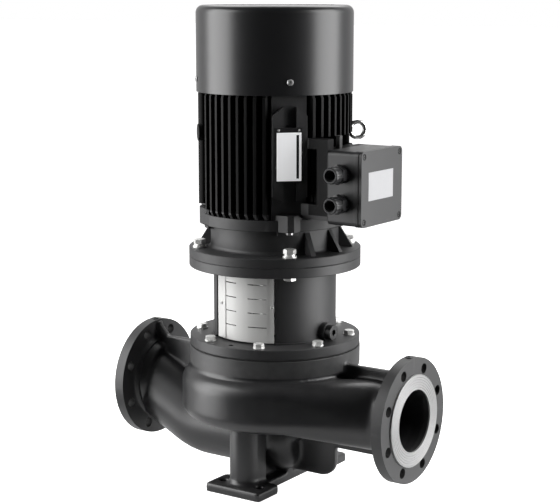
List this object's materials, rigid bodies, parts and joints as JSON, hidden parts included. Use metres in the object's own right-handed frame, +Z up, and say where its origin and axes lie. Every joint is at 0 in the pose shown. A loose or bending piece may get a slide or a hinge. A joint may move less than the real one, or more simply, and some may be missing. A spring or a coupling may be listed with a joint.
{
  "type": "circulation pump",
  "caption": "In-line circulation pump: volute casing with opposed flanged ports on a foot, stool with guarded coupling, vertical finned motor, fan cover, terminal box and lifting eye.",
  "frame": {"origin": "on the shaft axis at the underside of the foot", "axes": "+Z up along the shaft, +X out of the discharge port, -Y towards the front foot pad and the cable glands"},
  "size_m": [0.568, 0.3245, 0.838],
  "materials": {
    "box_black": "black painted die-cast aluminium",
    "brass": "bare brass",
    "bronze": "bare bronze",
    "carbon": "carbon seal ring",
    "cast_black": "satin black paint on grey iron castings",
    "ceramic": "ceramic seal seat",
    "copper": "enamelled copper",
    "cover_black": "smooth black powder coat on pressed steel",
    "fan_plastic": "dark moulded nylon",
    "fibre": "grey fibre gasket sheet",
    "frame_black": "satin black paint on die-cast aluminium",
    "iron_rotor": "laminated steel",
    "plastic_black": "black nylon",
    "rubber": "black rubber",
    "stainless": "brushed stainless sheet",
    "steel": "turned and ground steel",
    "zinc": "bright zinc plated steel"
  },
  "bodies": {
    "pump": {"bearing_a_outer": "steel", "bearing_b_outer": "steel", "casing_gasket": "fibre", "coupling_guard_front": "stainless", "coupling_guard_rear": "stainless", "eyebolt": "zinc", "fan_cover": "cover_black", "flange_bolt_1": "zinc", "flange_bolt_2": "zinc", "flange_bolt_3": "zinc", "flange_bolt_4": "zinc", "flange_nuts": "zinc", "gland_body_lower": "plastic_black", "gland_body_upper": "plastic_black", "gland_nut_lower": "plastic_black", "gland_nut_upper": "plastic_black", "head_bolt_1": "zinc", "head_bolt_2": "zinc", "head_bolt_3": "zinc", "head_bolt_4": "zinc", "head_bolt_5": "zinc", "head_bolt_6": "zinc", "head_bolt_7": "zinc", "head_bolt_8": "zinc", "motor_stool": "cast_black", "pump_casing": "cast_black", "seal_cover": "cast_black", "seal_seat": "ceramic", "shield_drive_end": "cast_black", "shield_fan_end": "cast_black", "stator_core": "iron_rotor", "stator_frame": "frame_black", "terminal_block": "plastic_black", "terminal_box_base": "box_black", "terminal_box_cover": "box_black", "terminal_box_gasket": "rubber", "vent_plug": "brass", "wear_ring": "bronze", "winding_lower": "copper", "winding_upper": "copper"},
    "rotor": {"impeller": "cast_black", "impeller_nut": "stainless", "impeller_key": "steel", "pump_shaft": "stainless", "seal_rotary": "carbon", "seal_bellows": "rubber", "coupling_half_front": "steel", "coupling_half_rear": "steel", "coupling_screw_1": "steel", "coupling_screw_2": "steel", "coupling_screw_3": "steel", "coupling_screw_4": "steel", "motor_shaft": "steel", "rotor_core": "iron_rotor", "bearing_a_inner": "steel", "bearing_b_inner": "steel", "cooling_fan": "fan_plastic"}
  },
  "joints": [
    {"name": "rotor_spin", "type": "hinge", "parent": "pump", "child": "rotor", "pos_m": [0, 0, 0.4], "axis": [0, 0, 1], "continuous": true}
  ]
}
